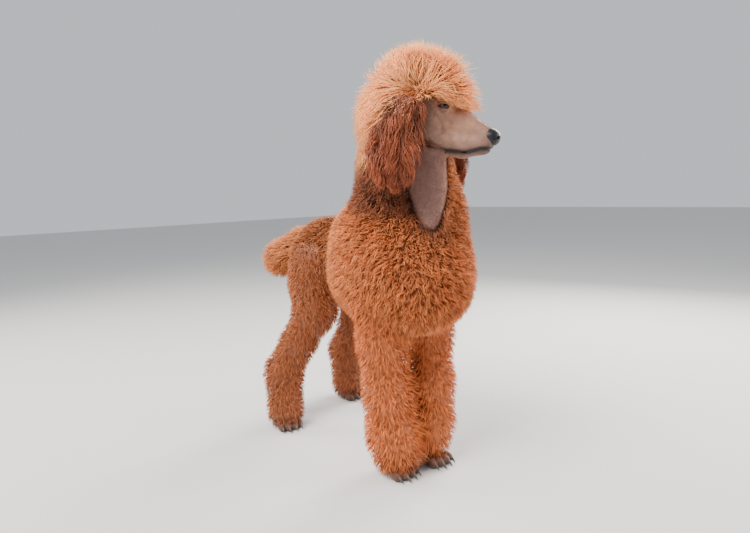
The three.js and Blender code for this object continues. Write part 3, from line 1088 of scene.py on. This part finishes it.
@dataclass(frozen=True)
class Coat:
    """One piece of coat: how many tufts it has, how they stand, and how they curl."""

    name: str
    slot: str
    zones: tuple[Zone, ...]
    count: int
    rings: int
    width: float
    finish: HairFinish
    stand: float = 0.8
    curl: float = 0.0
    turns: float = 1.0
    clump: float = 0.0
    clump_size: float = 18.0
    scatter: float = 0.2
    reach: float = 1.0
    spread: float = 0.16
    longest: float = 90.0
    bulge: float = 0.45
    droop: float = 0.0
    locks: int = 400
    pull: float = 0.4
    sides: int = 3
    seed: int = 0


class Curls:
    """Grows a coat's tufts from the skin out to the outline."""

    shortest = 2.5
    root_depth = 1.5
    length_steps = 12

    def __init__(self, dog: Dog, skin: Skin, origin: Array) -> None:
        """Keeps what every coat needs."""
        self.dog, self.skin, self.origin = dog, skin, origin

    @staticmethod
    def waves(p: Array, size: float, seed: int) -> Array:
        """Returns a smooth wandering direction field, the same for tufts that grow side by side.

        Args:
            p: points.
            size: how far apart its swirls are.
            seed: which field it is.

        Returns:
            One vector of about unit length for each point.
        """
        rng = np.random.default_rng(seed)
        out = np.zeros_like(p)
        for _ in range(WAVES):
            turn = unit(rng.normal(size=3)) * (2 * math.pi / size) * rng.uniform(0.6, 1.5)
            push = unit(rng.normal(size=3))
            out += np.sin(p @ turn + rng.uniform(0, 6.28))[:, None] * push
        return out / WAVE_SIZE

    @staticmethod
    def lie_of(roots: dict[str, Array]) -> Array:
        """Returns the way that hair is combed at each root: down, unless its zone has a way of its own."""
        p = roots["points"]
        lie = np.broadcast_to(DOWNWARD, p.shape).copy()
        zone = roots["zones"]
        top = zone == Zone.TOPKNOT.value
        if top.any():
            head = HEAD.local(p[top])
            comb = head - vec(0, 64, -52)
            comb[:, 1] -= 34 * ramp(-head[:, 1], -50, 16)
            fringe = (1 - ramp(head[:, 2], 16, 62)) * (1 - ramp(head[:, 1], 0, 44))
            fall = (1 - ramp(head[:, 2], 4, 44)) * ramp(head[:, 1], 0, 30)
            comb = unit(comb) + fringe[:, None] * vec(0, -0.10, -0.62) + fall[:, None] * vec(0, 0.2, -1.1)
            lie[top] = HEAD.direction(unit(comb))
        face = zone == Zone.FACE.value
        lie[face] = HEAD.direction(vec(0, 1, -0.25))
        tail = zone == Zone.TAIL.value
        lie[tail] = unit(TAIL_LIE)
        return unit(lie)

    @staticmethod
    def flattened(lie: Array, normals: Array) -> Array:
        """Returns directions laid down along the skin."""
        return unit(lie - normals * (lie * normals).sum(1, keepdims=True) + 1e-6)

    def length_of(self, coat: Coat, p: Array, way: Array, rng: np.random.Generator) -> Array:
        """Finds how long each tuft is. The fringe is kept short.

        Args:
            coat: the coat.
            p: the tufts' roots.
            way: which way each tuft grows.
            rng: the source of chance.

        Returns:
            One length for each tuft.
        """
        length = self.length_to_outline(p, way, coat)
        length *= coat.reach * rng.uniform(1 - coat.spread, 1 + coat.spread, len(p))
        if Zone.TOPKNOT in coat.zones:
            head = HEAD.local(p)
            fringe = (1 - ramp(head[:, 2], 18, 50)) * (1 - ramp(head[:, 1], 20, 60))
            length = np.minimum(length, 120 - 66 * fringe - 60 * ramp(-head[:, 2], 30, 80))
            length *= 1 - 0.15 * ramp(-way @ HEAD.direction(vec(0, 1, 0)), 0.3, 0.8)
        return np.maximum(length, self.shortest)

    def tubes(self, coat: Coat, roots: dict[str, Array], rng: np.random.Generator) -> tuple[Array, Array]:
        """Draws each tuft as a thin tube of rings that curls along with its lock.

        Args:
            coat: the coat.
            roots: where the tufts grow.
            rng: the source of chance.

        Returns:
            The points, and for each point how far along it is and its tint, both one row a tuft.
        """
        p, n = roots["points"], roots["normals"]
        flat = self.flattened(self.lie_of(roots), n)
        wander = self.waves(p, coat.clump_size, coat.seed + 7)
        way = unit(coat.stand * n + (1 - coat.stand) * flat + coat.scatter * rng.normal(size=p.shape) * 0.5)
        length = self.length_of(coat, p, way, rng)
        side = unit(np.cross(way, unit(rng.normal(size=p.shape))))
        other = np.cross(way, side)
        lock = self.locks_of(coat, p)
        phase = lock["phase"] + 0.45 * rng.normal(size=len(p))
        fat = coat.width * rng.uniform(0.7, 1.3, len(p))
        tint = np.clip(0.5 + 0.14 * rng.normal(size=len(p)) + 0.22 * lock["tint"], 0, 1)
        wander = wander - n * (wander * n).sum(1, keepdims=True)
        rows, strands = [], []
        for i, t in enumerate(np.linspace(0, 1, coat.rings)):
            turned = phase + lock["spin"] * 2 * math.pi * coat.turns * t
            swing = coat.curl * min(1.0, t * 2.2) * (1 - 0.25 * t)
            own = p + way * (length * t)[:, None]
            own += (lock["points"] + lock["way"] * (length * t)[:, None] - own) * coat.pull * t**1.4
            curl = lock["side"] * np.cos(turned)[:, None] + lock["other"] * np.sin(turned)[:, None]
            middle = (own - n * (self.root_depth * (t == 0)) + wander * (coat.clump * length * t * t)[:, None]
                      + flat * (length * (1 - coat.stand) * 0.35 * t * t)[:, None] + curl * swing)
            middle[:, 2] -= coat.droop * length * t * t
            middle[:, 2] = np.maximum(middle[:, 2], 1.6 + 1.5 * tint)
            strand = np.stack([np.full(len(p), t), tint, tint], 1)[:, None]
            if i == coat.rings - 1:
                rows.append(middle[:, None])
                strands.append(strand)
                continue
            swell = coat.bulge + (1 - coat.bulge) * math.sin(min(1.0, t * 2.4) * math.pi / 2)
            profile = swell * (1 - t**1.7)
            ring = []
            for k in range(coat.sides):
                angle = 2 * math.pi * k / coat.sides
                ring.append(middle + side * (fat * profile * math.cos(angle) * 0.5)[:, None]
                            + other * (fat * profile * math.sin(angle) * 0.32)[:, None])
            rows.append(np.stack(ring, 1))
            strands.append(np.repeat(strand, coat.sides, 1))
        points = np.concatenate(rows, 1)
        points[..., 2] = np.maximum(points[..., 2], 0.6)
        return points, np.concatenate(strands, 1)

    def grow(self, coat: Coat) -> bpy.types.Object:
        """Makes one piece of coat.

        Args:
            coat: what it is like.

        Returns:
            The piece.
        """
        rng = np.random.default_rng(SEED + coat.seed)
        roots = self.skin.scatter(coat.count, rng, coat.zones)
        points, strands = self.tubes(coat, roots, rng)
        count, per = points.shape[:2]
        faces = self.tuft_faces(coat)
        index = (faces[None] + (np.arange(count) * per)[:, None, None]).reshape(-1, 3)
        piece = new_mesh(coat.name, in_metres(points.reshape(-1, 3), self.origin), index)
        colour = np.repeat(self.dog.markings_and_painted_light(roots["points"])[:, None], per, 1)
        paint(piece.data, "markings_and_painted_light", colour.reshape(-1, 3))
        paint(piece.data, "strand", strands.reshape(-1, 3))
        self.unwrap(piece, coat, roots["uv"], faces)
        piece.data.materials.append(coat.finish.material())
        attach(piece, BODY)
        log.info("%s: %d tufts, %d triangles", coat.name, count, len(index))
        return piece

    def locks_of(self, coat: Coat, p: Array) -> dict[str, Array]:
        """Finds the lock that each tuft hangs together with.

        Args:
            coat: the coat.
            p: the tufts' roots.

        Returns:
            For each tuft its lock's root, direction, wave and tint.
        """
        rng = np.random.default_rng(SEED + coat.seed // 10)
        roots = self.skin.scatter(coat.locks, rng, coat.zones)
        normals = roots["normals"]
        flat = self.flattened(self.lie_of(roots), normals)
        way = unit(coat.stand * normals + (1 - coat.stand) * flat + 0.12 * rng.normal(size=flat.shape))
        side = unit(np.cross(way, unit(rng.normal(size=way.shape))))
        tree = KDTree(coat.locks)
        for number, point in enumerate(roots["points"]):
            tree.insert(point, number)
        tree.balance()
        nearest = np.array([tree.find(point)[1] for point in p])
        found = {
            "points": roots["points"],
            "way": way,
            "side": side,
            "other": np.cross(way, side),
            "phase": rng.uniform(0, 2 * math.pi, coat.locks),
            "spin": rng.choice([-1.0, 1.0], coat.locks),
            "tint": np.clip(rng.normal(size=coat.locks), -1.6, 1.6),
        }
        return {key: values[nearest] for key, values in found.items()}

    def length_to_outline(self, p: Array, way: Array, coat: Coat) -> Array:
        """Returns how far each tuft runs before it meets the outline of the coat."""
        whole = self.dog.outline
        outline = blend(8, *whole.ears) if Zone.EAR in coat.zones else whole.hairy
        if Zone.TOPKNOT in coat.zones:
            outline = blend(8, whole.dome, whole.neck)
        steps = np.linspace(0, coat.longest, self.length_steps)[1:]
        length = np.full(len(p), float(coat.longest))
        before, met = np.minimum(outline(p), -0.5), np.zeros(len(p), bool)
        for near, far in zip(np.r_[0, steps[:-1]], steps):
            now = outline(p + way * far)
            crossed = ~met & (now > 0)
            share = before[crossed] / (before[crossed] - now[crossed])
            length[crossed] = near + (far - near) * share
            met |= crossed
            before = np.minimum(now, -1e-3)
        return length

    @staticmethod
    def tuft_faces(coat: Coat) -> Array:
        """Returns one tuft's triangles: its root cap, its sides and its tip."""
        k = coat.sides
        faces = [(0, i + 1, i) for i in range(1, k - 1)]
        for ring in range(coat.rings - 2):
            for i in range(k):
                a, b = ring * k + i, ring * k + (i + 1) % k
                faces += [(a, b, b + k), (a, b + k, a + k)]
        last = (coat.rings - 2) * k
        tip = (coat.rings - 1) * k
        faces += [(last + i, last + (i + 1) % k, tip) for i in range(k)]
        return np.array(faces)

    @staticmethod
    def unwrap(piece: bpy.types.Object, coat: Coat, at: Array, faces: Array) -> None:
        """Lays each tuft on the bake map as a small patch at its root's place."""
        local = []
        for i, t in enumerate(np.linspace(0, 1, coat.rings)):
            if i == coat.rings - 1:
                local.append((0.5, t))
            else:
                local += [(k / (coat.sides - 1), t) for k in range(coat.sides)]
        patch = (np.array(local) - 0.5) * PATCH
        corner = patch[faces].reshape(1, -1, 2)
        uv = at[:, None] + corner
        layer = piece.data.uv_layers.new(name=BAKE_MAP)
        layer.data.foreach_set("uv", np.clip(uv, 0, 1).astype(np.float32).ravel())


class Nose:
    """The nose leather, with its nostrils and the groove between them."""

    centre = vec(0, -112, -50)
    radii = vec(19.5, 24, 18.5)

    def field(self, p: Array) -> Array:
        """Returns the distance to the leather, in the head's frame."""
        leather = egg(self.centre, self.radii, 0.2)
        leather = carve(leather, lambda q: q[:, 1] + 134.0 + 0.25 * (q[:, 2] + 50), 5)
        for side in (-1, 1):
            hole = self.centre + vec(side * 9.0, -19.0, 0.5)
            leather = carve(leather, egg(hole, vec(3.6, 6.0, 3.2)), 2.0)
            slit = limb(hole + vec(side * 2, 1.5, -2), hole + vec(side * 8, 9.5, -4), 1.5, 0.9)
            leather = carve(leather, slit, 1.5)
        groove = limb(self.centre + vec(0, -23, 2), self.centre + vec(0, -18, -15), 0.9, 1.1)
        return carve(leather, groove, 2.5)(p)

    def build(self, origin: Array) -> bpy.types.Object:
        """Makes the nose."""
        margin = self.radii + 4
        points, quads = surface_net(self.field, self.centre - margin, self.centre + margin, 1.1)
        piece = new_mesh("nose_leather", in_metres(HEAD.world(points), origin), quads)
        piece.data.materials.append(LeatherFinish().material())
        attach(piece, BODY)
        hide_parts("nose")
        return piece


class Eyes:
    """The two eyeballs, each with a slight cornea towards its gaze."""

    def build(self, origin: Array) -> list[bpy.types.Object]:
        """Makes both eyes."""
        return [self.eye(s, origin) for s in SIDES]

    @staticmethod
    def eye(s: Side, origin: Array) -> bpy.types.Object:
        """Makes one eye."""
        gaze = HEAD.direction(Face.gaze(s.side))
        bm = bmesh.new()
        bmesh.ops.create_uvsphere(bm, u_segments=48, v_segments=32, radius=1.0)
        co = np.array([v.co[:] for v in bm.verts])
        faces = [[v.index for v in f.verts] for f in bm.faces]
        bm.free()
        triangles = np.array([(f[0], f[i], f[i + 1]) for f in faces for i in range(1, len(f) - 1)])
        off = np.arccos(np.clip(co @ gaze, -1, 1))
        bulge = 1 + 0.045 * (1 - ramp(off, 0.30, 0.75))
        points = HEAD.world(eye_place(s.side)[None]) + co * (EYE_RADIUS * bulge)[:, None]
        piece = new_mesh(f"eyeball_{s.name}", in_metres(points, origin), triangles)
        ring = np.clip(off / 1.3, 0, 1)
        paint(piece.data, "strand", np.stack([ring, ring, ring], 1))
        piece.data.materials.append(EyeFinish().material())
        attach(piece, BODY)
        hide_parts(f"eye_{s.name}")
        return piece


class Claws:
    """The claws: curved tapered horns, four to a paw."""

    length = 16.0
    radius = 5.2
    sides = 12
    rings = 9

    def build(self, origin: Array) -> None:
        """Makes every claw in its toe."""
        for s in SIDES:
            for fore in (True, False):
                pose, places = paw_frame(s, fore)
                paw = f"{'fore' if fore else 'hind'}paw_{s.name}"
                for number, place in enumerate(places, 1):
                    self.claw(f"{paw}_claw_{number}", pose, place, origin)

    def claw(self, node: str, pose: Pose, toe: Array, origin: Array) -> None:
        """Makes one claw, dipping as it leaves the toe."""
        rows = []
        for i in range(self.rings):
            t = i / (self.rings - 1)
            reach = self.length * t
            ahead = toe[1] - TOE_RADII[1] + 6 - reach * 0.92
            middle = vec(toe[0], ahead, toe[2] + 1 - reach * 0.12 - 7.4 * t**2)
            radius = self.radius * (1 - t) ** 0.62
            if i == self.rings - 1:
                rows.append(middle[None])
                continue
            angle = np.arange(self.sides) * 2 * math.pi / self.sides
            ring = np.stack([np.cos(angle) * 0.78, -0.25 * np.sin(angle), np.sin(angle)], 1) * radius
            rows.append(middle + ring)
        points = np.concatenate(rows)
        faces = []
        for ring in range(self.rings - 2):
            for k in range(self.sides):
                a, b = ring * self.sides + k, ring * self.sides + (k + 1) % self.sides
                faces += [(a, b + self.sides, b), (a, a + self.sides, b + self.sides)]
        last, tip = (self.rings - 2) * self.sides, (self.rings - 1) * self.sides
        faces += [(last + k, tip, last + (k + 1) % self.sides) for k in range(self.sides)]
        faces += [(0, k, k + 1) for k in range(1, self.sides - 1)]
        piece = new_mesh(f"horn_{node}", in_metres(pose.world(points), origin), np.array(faces))
        piece.data.materials.append(HornFinish().material())
        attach(piece, BODY)
        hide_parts(node)


@dataclass(frozen=True)
class Studio:
    """The camera, the floor and the light."""

    camera_place: Array = field(default_factory=lambda: vec(-855.1, -1078.6, 693.1))
    azimuth: float = math.radians(-34.76)
    pitch: float = math.radians(7.47)
    roll: float = math.radians(-2.13)
    focal_pixels: float = 575.0
    picture_width: float = 750.0
    sensor: float = 36.0

    def build(self, origin: Array) -> None:
        """Sets the camera, the lights and the floor."""
        self.add_camera(origin)
        self.add_floor()
        self.add_lights(origin)

    def add_camera(self, origin: Array) -> None:
        """Puts the camera where the photo was taken from."""
        az, el, roll = self.azimuth, self.pitch, self.roll
        ahead = vec(-math.sin(az) * math.cos(el), math.cos(az) * math.cos(el), -math.sin(el))
        right = vec(math.cos(az), math.sin(az), 0)
        over = np.cross(right, ahead)
        x_axis = right * math.cos(roll) + over * math.sin(roll)
        y_axis = -right * math.sin(roll) + over * math.cos(roll)
        data = bpy.data.cameras.new("camera")
        data.sensor_width = self.sensor
        data.lens = self.focal_pixels / self.picture_width * self.sensor
        camera = bpy.data.objects.new("camera", data)
        bpy.context.scene.collection.objects.link(camera)
        turned = Matrix(np.stack([x_axis, y_axis, -ahead], 1).tolist()).to_4x4()
        place = Vector(in_metres(self.camera_place[None], origin)[0])
        camera.matrix_world = Matrix.Translation(place) @ turned
        bpy.context.scene.camera = camera

    @staticmethod
    def add_floor() -> None:
        """Lays a plain pale floor."""
        size = 14.0
        corners = np.array([[-size, -size, 0], [size, -size, 0], [size, size, 0], [-size, size, 0]])
        floor = new_mesh("floor", corners, np.array([[0, 1, 2, 3]]), smooth=False)
        floor.data.materials.append(FloorFinish().material())
        floor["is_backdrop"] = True

    @staticmethod
    def add_lights(origin: Array) -> None:
        """Hangs soft lights: a wide one over the dog's right shoulder, a fill, and two from behind."""
        world = bpy.data.worlds.new("sky")
        world.use_nodes = True
        world.node_tree.nodes["Background"].inputs[0].default_value = (0.90, 0.94, 1.0, 1)
        world.node_tree.nodes["Background"].inputs[1].default_value = 0.72
        bpy.context.scene.world = world
        aim = Vector(in_metres(vec(0, 60, 560)[None], origin)[0])
        for name, place, size, power, colour in (
            ("key", (-2.1, -0.5, 2.9), 1.8, 215.0, (1.0, 0.96, 0.90)),
            ("rim", (-1.5, 2.2, 2.2), 1.6, 95.0, (1.0, 0.95, 0.88)),
            ("fill", (2.3, -1.5, 1.4), 2.0, 84.0, (1.0, 0.98, 0.95)),
            ("glow", (2.1, 0.5, 1.6), 1.2, 105.0, (1.0, 0.95, 0.88)),
        ):
            data = bpy.data.lights.new(name, "AREA")
            data.size, data.energy, data.color = size, power, colour
            lamp = bpy.data.objects.new(name, data)
            lamp.location = place
            lamp.rotation_euler = (aim - Vector(place)).to_track_quat("-Z", "Y").to_euler()
            bpy.context.scene.collection.objects.link(lamp)


FLESH_NODES = [
    "topknot", "face", "lower_jaw", "ear_right", "ear_left", "neck", "chest", "hindquarters", "tail",
    "foreleg_right", "forepaw_right", "hindleg_right", "hindpaw_right", "foreleg_left", "forepaw_left",
    "hindleg_left", "hindpaw_left",
]

LOOSE = HairFinish("topknot_finish", root_shade=0.40, tip_light=1.25, spread=0.50, sheen=0.2)
CURLY = HairFinish("jacket_finish", root_shade=0.50, tip_light=1.24, spread=0.56, patch=1.1, patch_scale=42.0)
BRUSHED = HairFinish("leg_finish", root_shade=0.46, tip_light=1.12, spread=0.46)
SILKY = HairFinish("ear_finish", root_shade=0.20, tip_light=1.20, spread=1.0, roughness=0.48)
# painted light: the face's tufts are painted lighter than the skin's colour, to lift the shadows they cast on
# one another
SHORT = HairFinish("face_finish", root_shade=1.12, tip_light=1.40, spread=0.30, sheen=0.1, patch=0.6)


def coats() -> list[Coat]:
    """Returns every piece of coat, from the short hair of the face to the ears' long feathering."""
    topknot = [
        Coat(f"topknot_coat_{i + 1}", "topknot_coat", (Zone.TOPKNOT,), count=5700, rings=6, width=3.4,
             finish=LOOSE, stand=0.26, curl=5.0, turns=1.2, clump=0.13, clump_size=52, scatter=0.22,
             reach=0.91, spread=0.06, longest=120.0, droop=0.08, locks=420, pull=0.34, seed=10 + i)
        for i in range(2)
    ]
    jacket = [
        Coat(f"jacket_coat_{i + 1}", "jacket_coat", (Zone.JACKET, Zone.NECK), count=7700, rings=5, width=3.6,
             finish=CURLY, stand=0.70, curl=3.2, turns=1.0, clump=0.25, clump_size=24, reach=0.99,
             spread=0.12, longest=52.0, locks=2600, pull=0.38, seed=20 + i)
        for i in range(3)
    ]
    rear = Coat("hindquarter_coat", "leg_coat", (Zone.REAR,), count=4900, rings=5, width=3.8, finish=BRUSHED,
                stand=0.55, curl=2.0, turns=0.9, clump=0.20, clump_size=16, reach=1.05, longest=30.0,
                locks=700, pull=0.4, seed=30)
    legs = [
        Coat(f"leg_coat_{i + 1}", "leg_coat", (Zone.FORELEG, Zone.HINDLEG), count=7100, rings=5, width=3.5,
             finish=BRUSHED, stand=0.66, curl=2.2, turns=0.9, clump=0.10, clump_size=20, scatter=0.14,
             reach=0.99, spread=0.06, longest=44.0, droop=0.08, locks=3600, pull=0.16, seed=40 + i)
        for i in range(2)
    ]
    ears = Coat("ear_coat", "ear_coat", (Zone.EAR,), count=3500, rings=7, width=3.5, finish=SILKY, stand=0.24,
                curl=3.0, turns=1.5, clump=0.12, clump_size=26, scatter=0.10, reach=0.92, spread=0.12,
                longest=82.0, locks=110, pull=0.55, seed=50)
    tail = Coat("tail_coat", "topknot_coat", (Zone.TAIL,), count=2200, rings=5, width=3.9, finish=BRUSHED,
                stand=0.55, curl=2.2, turns=0.8, clump=0.14, clump_size=26, reach=1.02, longest=70.0,
                locks=120, pull=0.3, seed=60)
    face = Coat("face_coat", "face_coat", (Zone.FACE, Zone.THROAT), count=8500, rings=3, width=1.6,
                finish=SHORT, stand=0.07, scatter=0.08, longest=5.0, pull=0.0, seed=70)
    return [*topknot, *jacket, rear, *legs, ears, tail, face]


def main() -> None:
    """Builds the poodle piece by piece."""
    logging.basicConfig(level=logging.INFO, format="%(message)s")
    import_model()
    cad_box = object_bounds()
    low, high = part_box("eye_right")
    origin = np.array((low + high) / 2) / MM - HEAD.world(eye_place(-1)[None])[0]
    origin[2] = 0.0
    Studio().build(origin)
    dog = Dog()
    skin = Skin(dog, origin)
    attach(skin.piece, BODY)
    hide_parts(*FLESH_NODES)
    log.info("skin: %d triangles", len(skin.triangles))
    Nose().build(origin)
    Eyes().build(origin)
    Claws().build(origin)
    curls = Curls(dog, skin, origin)
    for coat in coats():
        curls.grow(coat)
    boxes = [[list(corner) for corner in box] for box in (cad_box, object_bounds())]


if __name__ == "__main__":
    main()
